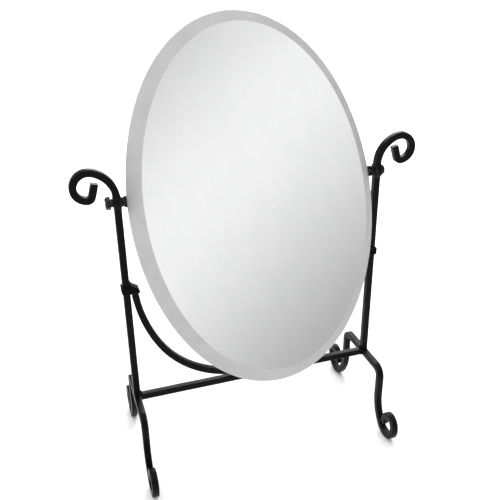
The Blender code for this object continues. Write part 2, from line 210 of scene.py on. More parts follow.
def walk(start, heading, moves, pitch=PITCH):
    """(distance, point, direction angle) along a plane path of straight runs and arcs."""
    point, angle, done = Vector(start), math.radians(heading), 0.0
    stations = [(done, point.copy(), angle)]
    for kind, size, *turn in moves:
        bend = math.radians(turn[0]) if kind == "arc" else 0.0
        length = size * abs(bend) if kind == "arc" else size
        steps = max(1, math.ceil(length / pitch))
        first, start_angle = point.copy(), angle
        side = math.copysign(1.0, bend)
        ahead = Vector((math.cos(angle), math.sin(angle)))
        centre = first + size * side * Vector((-math.sin(angle), math.cos(angle)))
        for step in range(1, steps + 1):
            share = step / steps
            if kind == "line":
                point = first + ahead * length * share
            else:
                angle = start_angle + bend * share
                point = centre + size * side * Vector((math.sin(angle), -math.cos(angle)))
            stations.append((done + length * share, point.copy(), angle))
        done += length
    return stations


def both_halves(middle, half):
    """Stations of a bar that is its half, mirrored; the half sets out level from the middle."""
    _, end, angle = walk(middle, 0.0, half)[-1]
    return walk((-end.x, end.y), -math.degrees(angle), (*reversed(half), *half))


def smooth_max(a, b, blend):
    share = max(0.0, min(1.0, 0.5 + 0.5 * (a - b) / blend))
    return b + (a - b) * share + blend * share * (1.0 - share)


def hand_worked(point, amount, size, seed=0.0):
    """A small smooth offset at point, as a hammer and the coat leave on a bar."""
    place = (point + Vector((seed, seed * 0.37, -seed * 0.61))) / size
    return amount * (noise.noise(place) + 0.45 * noise.noise(place * 2.7))


def bar_mesh(stations, place, shape=None, seed=0.0):
    """A square bar along plane stations; place puts (u, v, w) into the stand's frame.

    shape gives the section's half sizes and corner radius at a distance along the bar."""
    ends = [(BAR_CHAMFER * inset, BAR_CHAMFER * back)
            for inset, back in ((0.992, 0.0), (0.48, 0.16), (0.144, 0.672))]
    clear_of_ends = 1.3 * BAR_CHAMFER
    plan = []  # (distance, point, direction angle, how far the section is drawn in)
    first, last = stations[0], stations[-1]
    total = last[0]
    for inset, back in ends:
        ahead = Vector((math.cos(first[2]), math.sin(first[2])))
        plan.append((back, first[1] + ahead * back, first[2], inset))
    for distance, point, angle in stations:
        if clear_of_ends < distance < total - clear_of_ends:
            plan.append((distance, point, angle, 0.0))
    for inset, back in reversed(ends):
        ahead = Vector((math.cos(last[2]), math.sin(last[2])))
        plan.append((total - back, last[1] - ahead * back, last[2], inset))
    bm = bmesh.new()
    rings = []
    for distance, point, angle, inset in plan:
        half_a, half_b, radius = shape(distance) if shape else (BAR / 2, BAR / 2, BAR_ROUND)
        radius = max(radius - inset * 0.5, 0.0004)
        across = Vector((-math.sin(angle), math.cos(angle)))
        middle = place(point.x, point.y, 0.0)
        ring = []
        for a, b in section(half_a - inset, half_b - inset, radius):
            flat = point + across * a
            spot = place(flat.x, flat.y, b)
            out = (spot - middle).normalized()
            spot += out * (hand_worked(spot, 0.00009, 0.011, seed) - 0.00003)
            spot.z = max(spot.z, 0.00002)  # the feet are rubbed level where they stand
            ring.append(bm.verts.new(spot))
        rings.append(ring)
    skin(bm, rings)
    return bm


def front(side):
    """Places (u, v, w) in the plane of the uprights: u out to that side, v up."""
    return lambda u, v, w: Vector((side * u, -side * w, v))


def sideways(x):
    """Places (u, v, w) in the plane of a leg bar: u backwards, v up."""
    return lambda u, v, w: Vector((x + w, u, v))


def lathe(bm, profile, place, segments, closed=True):
    """Turns (out, radius) points about an axis; place puts (out, a, b) into the frame."""
    rings = []
    for out, radius in profile:
        ring = []
        for step in range(segments):
            angle = 2 * math.pi * step / segments
            spot = place(out, radius * math.cos(angle), radius * math.sin(angle))
            ring.append(bm.verts.new(spot))
        rings.append(ring)
    skin(bm, rings, closed)


MIRROR_FRAME = Matrix.Translation(PIVOT) @ Matrix.Rotation(-TILT, 4, "X")


def tilted(point):
    """A point of the mirror's own frame, in the stand's frame."""
    return MIRROR_FRAME @ Vector(point)


# ------------------------------------------------------------------ materials
def smooth_ramp(tree, value, low, high, to_low, to_high):
    """The value eased from low..high to to_low..to_high, and held beyond them."""
    node = tree.nodes.new("ShaderNodeMapRange")
    node.interpolation_type = "SMOOTHSTEP"
    for name, number in zip(("From Min", "From Max", "To Min", "To Max"),
                            (low, high, to_low, to_high)):
        node.inputs[name].default_value = number
    tree.links.new(value, node.inputs["Value"])
    return node.outputs["Result"]


class Nodes:
    """A material's node tree, with short ways to add what the materials here need."""

    def __init__(self, name):
        self.material = bpy.data.materials.new(name)
        self.material.use_nodes = True
        self.tree = self.material.node_tree
        self.shader = self.tree.nodes["Principled BSDF"]
        self.place = self.tree.nodes.new("ShaderNodeTexCoord").outputs["Object"]

    def link(self, output, socket):
        self.tree.links.new(output, socket)

    def noise(self, scale, detail=3.0, roughness=0.55, stretch=None):
        """Noise with scale lumps to the metre; stretch multiplies that along each axis."""
        node = self.tree.nodes.new("ShaderNodeTexNoise")
        node.inputs["Scale"].default_value = scale
        node.inputs["Detail"].default_value = detail
        node.inputs["Roughness"].default_value = roughness
        source = self.place
        if stretch:
            mapping = self.tree.nodes.new("ShaderNodeMapping")
            mapping.inputs["Scale"].default_value = stretch
            self.link(source, mapping.inputs["Vector"])
            source = mapping.outputs["Vector"]
        self.link(source, node.inputs["Vector"])
        return node.outputs["Fac"]

    def ramp(self, value, low, high, to_low=0.0, to_high=1.0):
        return smooth_ramp(self.tree, value, low, high, to_low, to_high)

    def mix(self, factor, first, second):
        """First to second as the factor goes from 0 to 1; each is a colour or an output."""
        node = self.tree.nodes.new("ShaderNodeMix")
        node.data_type = "RGBA"
        self.link(factor, node.inputs["Factor"])
        for socket, value in ((node.inputs["A"], first), (node.inputs["B"], second)):
            if isinstance(value, tuple):
                socket.default_value = (*value, 1.0)
            else:
                self.link(value, socket)
        return node.outputs["Result"]

    def sum(self, first, second, share=1.0):
        """First plus share times second."""
        node = self.tree.nodes.new("ShaderNodeMath")
        node.operation = "MULTIPLY_ADD"
        self.link(second, node.inputs[0])
        node.inputs[1].default_value = share
        self.link(first, node.inputs[2])
        return node.outputs["Value"]

    def times(self, first, second):
        node = self.tree.nodes.new("ShaderNodeMath")
        node.operation = "MULTIPLY"
        self.link(first, node.inputs[0])
        self.link(second, node.inputs[1])
        return node.outputs["Value"]

    def bump(self, height, strength, distance, normal=None):
        node = self.tree.nodes.new("ShaderNodeBump")
        node.inputs["Strength"].default_value = strength
        node.inputs["Distance"].default_value = distance
        self.link(height, node.inputs["Height"])
        if normal:
            self.link(normal, node.inputs["Normal"])
        return node.outputs["Normal"]

    def worn(self, low, high):
        """0 on flats to 1 along outer corners."""
        geometry = self.tree.nodes.new("ShaderNodeNewGeometry")
        return self.ramp(geometry.outputs["Pointiness"], low, high)

    def set(self, **values):
        """Fills the shader's sockets with numbers, colours or outputs."""
        for name, value in values.items():
            socket = self.shader.inputs[name.replace("_", " ")]
            if isinstance(value, (int, float)):
                socket.default_value = value
            elif isinstance(value, tuple):
                socket.default_value = (*value, 1.0)
            else:
                self.link(value, socket)
        return self.material


def coated_iron(name, base, light, rough, grain, gloss):
    """Black coat on iron: fine orange peel, cloudy sheen, corners lighter: partly rubbed wear,
    partly a painted highlight along the edges.
    """
    n = Nodes(name)
    cloud = n.noise(55.0, 4.0, 0.6)
    fine = n.noise(grain, 2.0, 0.5)
    speck = n.noise(grain * 3.1, 2.0, 0.6)
    rub_and_highlight_patches = n.ramp(n.noise(210.0, 4.0, 0.65), 0.38, 0.60)
    toned = n.mix(n.ramp(cloud, 0.35, 0.68), base, tuple(1.55 * c for c in base))
    # light is the corner colour: rubbed coat and a painted edge highlight in one
    colour = n.mix(n.times(n.worn(0.510, 0.56), rub_and_highlight_patches), toned, light)
    roughness = n.sum(n.ramp(cloud, 0.30, 0.72, rough - 0.06, rough + 0.08), speck, 0.05)
    peel = n.bump(fine, 0.35, 0.00012)
    normal = n.bump(speck, 0.22, 0.00004, peel)
    return n.set(Base_Color=colour, Roughness=roughness, Normal=normal, Specular_IOR_Level=gloss)


def plated_steel(name):
    """Zinc plate over turned steel, with a cloudy tone."""
    n = Nodes(name)
    cloud = n.noise(160.0, 4.0, 0.6)
    turned = n.noise(2600.0, 2.0, 0.5, (1.0, 1.0, 0.15))
    colour = n.mix(n.ramp(cloud, 0.35, 0.70), (0.27, 0.27, 0.26), (0.40, 0.39, 0.37))
    roughness = n.ramp(cloud, 0.3, 0.7, 0.30, 0.48)
    return n.set(Base_Color=colour, Metallic=1.0, Roughness=roughness,
                 Normal=n.bump(turned, 0.25, 0.00003))


def fibre(name):
    """Black pressed fibre, dull and faintly grained."""
    n = Nodes(name)
    weave = n.noise(1500.0, 4.0, 0.7)
    colour = n.mix(n.ramp(weave, 0.35, 0.65), (0.006, 0.0052, 0.0048), (0.014, 0.0115, 0.0100))
    return n.set(Base_Color=colour, Roughness=n.ramp(weave, 0.3, 0.7, 0.62, 0.82),
                 Normal=n.bump(weave, 0.4, 0.00006), Specular_IOR_Level=0.12)


def foam(name):
    """White foam tape with small cells."""
    n = Nodes(name)
    cells = n.noise(1800.0, 3.0, 0.6)
    colour = n.mix(n.ramp(cells, 0.35, 0.65), (0.55, 0.55, 0.53), (0.72, 0.72, 0.70))
    return n.set(Base_Color=colour, Roughness=n.ramp(cells, 0.3, 0.7, 0.82, 0.95),
                 Normal=n.bump(cells, 0.6, 0.0002))


def painted_board(name):
    """Hardboard brushed with thin black paint: long faint strokes over a pressed fibre grain."""
    n = Nodes(name)
    stroke = n.noise(240.0, 3.0, 0.55, (1.0, 0.05, 0.05))
    fibres = n.noise(900.0, 4.0, 0.7)
    patch = n.noise(14.0, 4.0, 0.6)
    tone = n.sum(n.sum(patch, stroke, 0.5), fibres, 0.3)
    colour = n.mix(n.ramp(tone, 0.70, 1.10), (0.012, 0.012, 0.012), (0.034, 0.032, 0.030))
    colour = n.mix(n.worn(0.53, 0.62), colour, (0.085, 0.070, 0.055))
    grain = n.bump(fibres, 0.35, 0.00015)
    return n.set(Base_Color=colour, Roughness=n.ramp(tone, 0.6, 1.2, 0.50, 0.74),
                 Normal=n.bump(stroke, 0.25, 0.0001, grain), Specular_IOR_Level=0.35)


def silvered(name, low, high, rough, ripple):
    """Silver behind glass: almost clean, with a faint haze from wiping and a little dust."""
    n = Nodes(name)
    haze = n.noise(26.0, 5.0, 0.6)
    smear = n.noise(70.0, 3.0, 0.55, (1.0, 1.0, 0.35))
    dust = n.noise(850.0, 2.0, 0.6)
    tone = n.sum(haze, smear, 0.4)
    colour = n.mix(n.ramp(n.sum(tone, dust, 0.9), 0.85, 1.50), low, high)
    wave = n.noise(9.0, 1.0, 0.4)
    roughness = n.ramp(tone, 0.45, 0.95, rough, rough * 1.7)
    return n.set(Base_Color=colour, Metallic=1.0, Roughness=roughness,
                 Normal=n.bump(wave, ripple, 0.0004))


def satin_bevel(name, low, high):
    """A finely ground bevel over the silver: it scatters the light, so it looks even all round."""
    n = Nodes(name)
    grind = n.noise(900.0, 3.0, 0.6)
    haze = n.noise(30.0, 4.0, 0.6)
    tone = n.sum(haze, grind, 0.6)
    colour = n.mix(n.ramp(tone, 0.50, 1.10), low, high)
    roughness = n.ramp(tone, 0.50, 1.10, 0.54, 0.62)
    return n.set(Base_Color=colour, Metallic=0.15, Roughness=roughness,
                 Normal=n.bump(grind, 0.12, 0.00004), Specular_IOR_Level=0.15)


def ground_edge(name):
    """The glass's rim: grey-green, ground along its length."""
    n = Nodes(name)
    grind = n.noise(1400.0, 3.0, 0.6, (1.0, 1.0, 0.4))
    cloud = n.noise(60.0, 3.0, 0.5)
    colour = n.mix(n.ramp(cloud, 0.35, 0.65), (0.34, 0.39, 0.375), (0.47, 0.52, 0.50))
    return n.set(Base_Color=colour, Roughness=n.ramp(grind, 0.3, 0.7, 0.22, 0.42),
                 Normal=n.bump(grind, 0.25, 0.00004), Specular_IOR_Level=0.6)


def backing_paint(name):
    """Grey paint over the silver, on the back of the glass."""
    n = Nodes(name)
    cloud = n.noise(40.0, 4.0, 0.6)
    speck = n.noise(1600.0, 2.0, 0.5)
    colour = n.mix(n.ramp(cloud, 0.3, 0.7), (0.125, 0.130, 0.135), (0.185, 0.190, 0.195))
    return n.set(Base_Color=colour, Roughness=n.ramp(cloud, 0.3, 0.7, 0.38, 0.52),
                 Normal=n.bump(speck, 0.25, 0.00006))


# The third colour of each coat is its corner colour: rubbed wear and a painted edge highlight.
BLACK_IRON = coated_iron("powder_coated_iron", (0.0019, 0.0019, 0.0020), (0.045, 0.044, 0.043),
                         rough=0.34, grain=1300.0, gloss=0.07)
BLACK_CAST = coated_iron("powder_coated_forging", (0.0018, 0.0018, 0.0019), (0.026, 0.026, 0.027),
                         rough=0.46, grain=1000.0, gloss=0.045)
BLACK_STEEL = coated_iron("blackened_steel", (0.0040, 0.0039, 0.0038), (0.090, 0.087, 0.084),
                          rough=0.30, grain=1700.0, gloss=0.24)
ZINC = plated_steel("zinc_plated_steel")
FIBRE = fibre("vulcanised_fibre")
FOAM = foam("foam_tape_white")
BOARD = painted_board("painted_hardboard")
FACE = silvered("silvered_face", (0.925, 0.928, 0.930), (0.965, 0.967, 0.968),
                rough=0.025, ripple=0.02)
BEVEL = satin_bevel("satin_bevel", (0.432, 0.431, 0.430), (0.500, 0.499, 0.498))
GLASS_EDGE = ground_edge("ground_glass_edge")
GLASS_PAINT = backing_paint("mirror_back_paint")


# ------------------------------------------------------------------ stand
def upright(name, side, scroll_start):
    """A square bar up through the pivot's eye, and over into the scroll."""
    foot = CROSSBAR_Z + BAR / 2 + GAP
    rise = ("line", PIVOT.z + scroll_start - foot)
    stations = walk((POST_X, foot), 90.0, (rise, *SCROLL), FINE_PITCH)
    eye_at = PIVOT.z - foot
    blend, shoulder, softer = 0.0022, 0.0075, 0.0006  # how the bar runs into the eye

    def shape(distance):
        away = distance - eye_at
        round_half = math.sqrt(max(EYE_RADIUS ** 2 - away ** 2, 0.0))
        near_eye = abs(away) < 2 * EYE_RADIUS
        deep = smooth_max(BAR / 2, round_half, blend) if near_eye else BAR / 2
        near = math.exp(-(away / shoulder) ** 4)
        return BAR / 2 + (EYE_HALF - BAR / 2) * near, deep, BAR_ROUND + softer * near

    bm = bar_mesh(stations, front(side), shape, seed=0.3 + side)
    piece = piece_from(bm, name + "_bar", BLACK_IRON, "stand", (name,))
    middle = Vector((side * POST_X, 0.0, PIVOT.z))
    reach = Vector((2 * BAR, 0.0, 0.0))
    drill(piece, SHANK_HOLE, middle - reach, middle + reach, 48)


def leg_bar(name, side):
    """A bar along the depth of the stand, bent down at both ends and rolled to the feet."""
    stations = both_halves((0.0, CROSSBAR_Z), LEG_HALF)
    bm = bar_mesh(stations, sideways(side * POST_X), seed=4.1 * side)
    piece_from(bm, name + "_bent", BLACK_IRON, "stand", (name,))


def straight_and_bow():
    """The crossbar, and the bow that rests on its middle."""
    half = POST_X - BAR / 2 - GAP
    bm = bar_mesh(walk((-half, CROSSBAR_Z), 0.0, (("line", 2 * half),)), front(1), seed=7.7)
    piece_from(bm, "crossbar_bar", BLACK_IRON, "stand", ("crossbar",))
    bm = bar_mesh(both_halves((0.0, CROSSBAR_Z + BAR + GAP), BOW_HALF), front(1), seed=9.2)
    piece_from(bm, "bow_brace_bar", BLACK_IRON, "stand", ("bow_brace",))


for side_name, side in (("left", -1), ("right", 1)):
    upright(side_name + "_upright", side, SCROLL_STARTS[side_name])
    leg_bar(side_name + "_leg_bar", side)
straight_and_bow()


# ------------------------------------------------------------------ forged and welded pieces
def melt(bm, name, voxel, smooth, amount, size, seed):
    """Fuses the closed shells in bm into one skin, as forging or weld metal does.

    The skin is relaxed smooth times, then moved by up to amount in lumps of that size."""
    lump = object_from(bm, name)
    remesh = lump.modifiers.new("fuse", "REMESH")
    remesh.mode = "VOXEL"
    remesh.voxel_size = voxel
    remesh.adaptivity = 0.0
    relax = lump.modifiers.new("relax", "SMOOTH")
    relax.factor = 0.5
    relax.iterations = smooth
    fused, shells = applied(lump), lump.data
    bpy.data.objects.remove(lump, do_unlink=True)
    result = bmesh.new()
    result.from_mesh(fused)
    for mesh in (shells, fused):
        bpy.data.meshes.remove(mesh)
    result.normal_update()
    moves = [vert.normal * hand_worked(vert.co, amount, size, seed) for vert in result.verts]
    for vert, move in zip(result.verts, moves):
        vert.co += move
    return result


def slab(bm, outline, half, place):
    """A closed prism from a (u, v) outline, from w = -half to +half."""
    low = [bm.verts.new(place(u, v, -half)) for u, v in outline]
    top = [bm.verts.new(place(u, v, half)) for u, v in outline]
    bm.faces.new(low)
    bm.faces.new(list(reversed(top)))
    for i in range(len(outline)):
        j = (i + 1) % len(outline)
        bm.faces.new((low[i], top[i], top[j], low[j]))


def along(points, reach):
    """The spot at a distance along a polyline, and the direction there."""
    for a, b in zip(points, points[1:]):
        span = (b - a).length
        if reach <= span:
            ahead = (b - a) / span
            return a + ahead * reach, ahead
        reach -= span
    return points[-1], (points[-1] - points[-2]).normalized()


def bead(bm, points, radius, seed=0.0):
    """A weld bead: a row of overlapping ripples along a polyline, rounded off at both ends."""
    ripple, pitch, sides = 0.0013, 0.00022, 12
    length = sum((b - a).length for a, b in zip(points, points[1:]))
    steps = max(8, math.ceil(length / pitch))
    rings = []
    for step in range(steps + 1):
        reach = length * step / steps
        spot, ahead = along(points, reach)
        from_end = min(reach, length - reach)
        cap = math.sqrt(max(0.0, 1.0 - (1.0 - min(1.0, from_end / radius)) ** 2))
        wave = (reach / ripple) % 1.0
        grow = 0.93 + 0.10 * math.sin(math.pi * wave) ** 0.7
        grow += hand_worked(spot, 0.07, 0.003, seed)
        size = max(radius * cap * grow, radius * 0.04)
        across = ahead.orthogonal().normalized()
        other = ahead.cross(across)
        ring = []
        for k in range(sides):
            angle = 2 * math.pi * k / sides
            out = across * math.cos(angle) + other * math.sin(angle)
            ring.append(bm.verts.new(spot + size * out))
        rings.append(ring)
    skin(bm, rings)


def collar(name, side):
    """The forged band round the upright and the bow's end, run together with weld above.

    Its outlines are (out, up) in millimetres, from the upright's middle at COLLAR_Z."""
    outline = (
        (4.6, 4.9), (5.6, 4.3), (5.5, 1.6), (5.6, -1.4), (5.2, -3.2), (4.2, -4.7), (-4.1, -4.8),
        (-4.9, -4.2), (-6.6, -4.3), (-8.0, -4.8), (-13.0, -4.9), (-14.4, -4.4), (-14.8, -3.2),
        (-14.2, -1.6), (-14.0, -0.3), (-13.4, 0.7), (-9.4, 3.4), (-6.0, 5.8), (-4.6, 8.0),
        (-3.7, 11.4), (-2.6, 11.4), (-2.0, 5.4),
    )
    round_post = (*outline[:7], (-4.1, 4.9))
    round_bow = ((-7.6, -4.5), (-13.0, -4.6), (-14.2, -3.9), (-13.3, -0.2), (-7.6, 3.4))
    place = front(side)

    def spot(u, v, w):
        return place(POST_X + u, COLLAR_Z + v, w)

    bm = bmesh.new()
    for points, half in ((outline, 0.0051), (round_post, 0.0056), (round_bow, 0.0056)):
        slab(bm, [(u / 1000, v / 1000) for u, v in points], half, spot)
    bead(bm, [spot(-0.0042, 0.0082, -0.0036), spot(-0.0042, 0.0082, 0.0036)], 0.0013, side)
    bead(bm, [spot(-0.0036, -0.0062, 0.0), spot(-0.0062, -0.0066, 0.0)], 0.0011, side + 3)
    lump = melt(bm, name, voxel=0.00034, smooth=4, amount=0.00022, size=0.0034, seed=5.0 * side)
    piece_from(lump, name + "_forged", BLACK_CAST, "stand", (name,), sharp=60)


def weld_piece(bm, name, seed):
    lump = melt(bm, name, voxel=0.00024, smooth=2, amount=0.00008, size=0.002, seed=seed)
    piece_from(lump, name, BLACK_CAST, "stand", sharp=60)


def joint_welds(name, side):
    """Beads where the upright stands on the leg bar and the crossbar butts against both."""
    bm = bmesh.new()
    h = BAR / 2
    post, z = side * POST_X, CROSSBAR_Z
    top, over = z + h, z + h + 0.0001
    inner = post - side * (h + 0.0002)
    outer = post + side * h

    def run(start, end, radius, seed):
        bead(bm, [Vector(start), Vector(end)], radius, seed)

    def from_front_to_back(x, half, height, radius, seed):
        run((x, -half, height), (x, half, height), radius, seed)

    from_front_to_back(inner, 0.0033, top, 0.0022, 1.0)
    from_front_to_back(inner - side * 0.0005, 0.0028, top + 0.0016, 0.0013, 1.5)
    from_front_to_back(inner, 0.0033, z - h, 0.0013, 2.0)
    for y in (-1, 1):
        run((inner, y * h, z - 0.0033), (inner, y * h, z + 0.0033), 0.0011, 3.0 + y)
        run((post - 0.0035, y * h, over), (post + 0.0035, y * h, over), 0.0015, 6.0 + y)
    from_front_to_back(outer - side * 0.0005, 0.0034, over, 0.0008, 9.0)
    weld_piece(bm, name, 2.0 * side)


def bow_weld():
    """Short beads in front and behind, where the bow rests on the crossbar."""
    bm = bmesh.new()
    top = CROSSBAR_Z + BAR / 2 + 0.0001
    bow_radius = BOW_HALF[0][1]
    for y, seed in ((-1, 11.0), (1, 14.0)):
        points = [Vector((x, y * (BAR / 2 - 0.0002), top + x * x / (2 * bow_radius)))
                  for x in (-0.0095, -0.004, 0.0, 0.004, 0.0095)]
        bead(bm, points, 0.0011, seed)
    weld_piece(bm, "bow_weld", 21.0)


for side_name, side in (("left", -1), ("right", 1)):
    collar(side_name + "_collar", side)
    joint_welds(side_name + "_joint_weld", side)
bow_weld()


# ------------------------------------------------------------------ pivot hardware
def reach_along_axis(node):
    """How far from the middle a pivot node starts and ends."""
    return sorted(abs(corner.x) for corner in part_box(node))


def turned_part(name, side, profile, material, node):
    """A ring about the pivot axis from (distance out, radius) points, in the mirror's frame."""
    bm = bmesh.new()
    lathe(bm, profile, lambda out, y, z: tilted((side * out, y, z)), segments=72)
    piece_from(bm, name, material, "mirror", (node,), sharp=40)


def pivot_stack(side_name, side):
    """The bush, the friction washer and the spring washer on one pivot screw."""
    node = side_name + "_pivot_bush"
    near, far = reach_along_axis(node)
    bush = (
        (near, SHANK_HOLE), (near, 0.0056), (near + 0.0003, 0.0056), (near + 0.0007, 0.0052),
        (near + 0.0012, 0.0050), (far - 0.0006, 0.0050), (far - 0.0003, 0.0048), (far, 0.0045),
        (far, SHANK_HOLE),
    )
    turned_part(side_name + "_bush", side, bush, BLACK_STEEL, node)
    node = side_name + "_friction_washer"
    near, far = reach_along_axis(node)
    soft = (
        (near, WASHER_HOLE), (near, 0.0050), (near + 0.0002, 0.0052), (far - 0.0002, 0.0052),
        (far, 0.0050), (far, WASHER_HOLE),
    )
    turned_part(side_name + "_fibre_washer", side, soft, FIBRE, node)
    spring_washer(side_name, side)


def spring_washer(side_name, side):
    """A split washer of square wire; the cut shows, and its ends stand slightly apart."""
    node = side_name + "_spring_washer"
    near, far = reach_along_axis(node)
    inner, outer = WASHER_HOLE, 0.0046
    lift = (far - near) * 0.10
    half = (far - near) / 2 - lift / 2
    split_at, sweep = 64, 352  # degrees
    steps = 88
    bm = bmesh.new()
    rings = []
    for step in range(steps + 1):
        share = step / steps
        angle = math.radians(split_at + sweep * share)
        middle = (near + far) / 2 + lift * (share - 0.5)
        ring = []
        for a, b in section((outer - inner) / 2, half, 0.00025, arc=2, flat=1):
            radius = (inner + outer) / 2 + a
            spot = (side * (middle + b), radius * math.cos(angle), radius * math.sin(angle))
            ring.append(bm.verts.new(tilted(spot)))
        rings.append(ring)
    skin(bm, rings)
    piece_from(bm, side_name + "_split_washer", BLACK_STEEL, "mirror",
               (node,), sharp=40)


def knob(side_name, side, length, flats):
    """A hexagon head, its outer corners turned off in a cone, with a washer face and its shank."""
    node = side_name + "_pivot_knob"
    tip, far = reach_along_axis(node)
    seat = far - length
    corner = flats / math.sqrt(3)
    cone_depth = 0.36 * length if length < 0.004 else 0.0020
    steps = 180
    bm = bmesh.new()

    def ring(out, reach_at):
        """Vertices round the axis, out from the seat; reach_at gives a radius for an angle."""
        verts = []
        for step in range(steps):
            angle = 2 * math.pi * step / steps
            reach, phase = reach_at(angle), angle + HEAD_TURN
            spot = (side * (seat + out), -reach * math.cos(phase), reach * math.sin(phase))
            verts.append(bm.verts.new(tilted(spot)))
        return verts

    def round_ring(out, radius):
        return ring(out, lambda angle: radius)

    def hexagon_ring(out, scale=1.0):
        limit = corner + 0.0001 - max(0.0, out - (length - cone_depth)) * 0.95

        def reach_at(angle):
            sector = (angle + math.radians(30)) % math.radians(60) - math.radians(30)
            flat_reach = flats / 2 / math.cos(sector)
            eased = corner - 0.00035 + 0.15 * (corner - flat_reach)
            return scale * min(flat_reach, eased, limit)

        return ring(out, reach_at)

    outs = [0.0003, 0.0006]
    outs += [0.0006 + (length - cone_depth - 0.0008) * k / 7 for k in range(1, 8)]
    outs += [length - cone_depth * (1 - k / 9) for k in range(9)]
    inward = tip - seat
    rings = [round_ring(inward, SHANK - 0.0004), round_ring(inward + 0.0004, SHANK),
             round_ring(0.00001, SHANK), round_ring(0.0, SHANK_HOLE),
             round_ring(0.00025, flats * 0.488)]
    rings += [hexagon_ring(out) for out in outs]
    rings += [hexagon_ring(length - 0.00012, 0.985), hexagon_ring(length, 0.955)]
    rings += [round_ring(length - dip, radius)
              for dip, radius in ((0.00002, 0.0044), (0.0001, 0.0026), (0.00012, 0.0010))]
    skin(bm, rings)
    piece_from(bm, side_name + "_hexagon_screw", BLACK_STEEL, side_name + "_knob",
               (node,), sharp=28)


for side_name, side in (("left", -1), ("right", 1)):
    pivot_stack(side_name, side)
    knob(side_name, side, HEAD_LENGTHS[side_name], HEADS_ACROSS_FLATS[side_name])


# ------------------------------------------------------------------ brackets and their screws
def bracket(side_name, side):
    """A strap with rounded ends, bent round the board's edge and drilled for its screws."""
    middle = (TAB_INNER + TAB_OUTER) / 2
    back = (STRAP_FRONT + STRAP_BACK) / 2
    thick = TAB_OUTER - TAB_INNER
    moves = (("line", back - STRAP_BEND + STRAP_HALF), ("arc", STRAP_BEND, 90.0),
             ("line", STRAP_REACH - STRAP_BEND))
    stations = walk((middle, -STRAP_HALF), 90.0, moves, pitch=0.0005)
    total = stations[-1][0]
    bm = bmesh.new()
    rings = []
    for distance, point, angle in stations:
        round_off = max(0.0, STRAP_HALF - min(distance, total - distance))
        half = max(math.sqrt(max(STRAP_HALF ** 2 - round_off ** 2, 0.0)), 0.0012)
        across = Vector((-math.sin(angle), math.cos(angle)))
        ring = []
        for a, b in section(thick / 2, half, 0.00035, arc=3, flat=3):
            flat = point + across * a
            ring.append(bm.verts.new(tilted((side * flat.x, flat.y, b))))
        rings.append(ring)
    skin(bm, rings)
    strap = piece_from(bm, side_name + "_bent_strap", BLACK_CAST, "mirror",
                       (side_name + "_bracket",), sharp=40)
    past = 0.003  # how far a drill runs past the faces
    drill(strap, SHANK_HOLE, tilted((side * (TAB_INNER - past), 0.0, 0.0)),
          tilted((side * (TAB_OUTER + past), 0.0, 0.0)), 48)
    for out in SCREW_OUTS:
        drill(strap, STRAP_HOLE, tilted((side * out, STRAP_FRONT - past, 0.0)),
              tilted((side * out, STRAP_BACK + past, 0.0)), 32)


def strap_screw(side_name, side, where, out):
    """A pan head with a cross recess, over a grooved shank that ends inside the board."""
    node = f"{side_name}_bracket_screw_{where}"
    seat = STRAP_BACK + GAP
    head, rise, shank = 0.0033, 0.0019, 0.0015
    rim, crown, groove = 0.0004, 0.0011, 0.00028
    length = seat - (BOARD_FRONT + 0.0017) - shank
    profile = [(rise, 0.0009)]
    for step in range(9):
        angle = math.radians(78 - 78 * step / 8)
        profile.append((rim + (rise - rim) * math.sin(angle) ** 0.9,
                        crown + (head - crown) * math.cos(angle) ** 0.75))
    profile += [(0.0002, head), (0.0, head - 0.0002), (0.0, shank)]
    for step in range(1, 21):
        profile.append((-length * step / 20, shank - (groove if step % 2 else 0.0)))
    bm = bmesh.new()
    lathe(bm, profile, lambda up, a, b: tilted((side * out + a, seat + up, b)), segments=40,
          closed=False)
    screw = piece_from(bm, node + "_pan", ZINC, "mirror", (node,), sharp=40)
    recess = Matrix.Diagonal((0.0036, 0.0030, 0.00075, 1.0))
    middle = Matrix.Translation((side * out, seat + 0.0006 + 0.0015, 0.0))
    for quarter in (0, 1):
        turn = Matrix.Rotation(math.radians(90 * quarter + 31 * side + out * 4000), 4, "Y")
        cutter = bmesh.new()
        bmesh.ops.create_cube(cutter, size=1.0, matrix=MIRROR_FRAME @ middle @ turn @ recess)
        carve(screw, cutter)


for side_name, side in (("left", -1), ("right", 1)):
    bracket(side_name, side)
    for where, out in zip(("inner", "outer"), SCREW_OUTS):
        strap_screw(side_name, side, where, out)


# ------------------------------------------------------------------ glass, board and tape
def oval(bm, half_width, half_height, y, shift=0.0):
    """A ring of vertices round the middle of the glass, shift to the right of it."""
    count = 256
    ring = []
    for step in range(count):
        angle = 2 * math.pi * step / count
        x = shift + half_width * math.cos(angle)
        z = half_height * math.sin(angle) - GLASS_DROP
        ring.append(bm.verts.new(tilted((x, y, z))))
    return ring


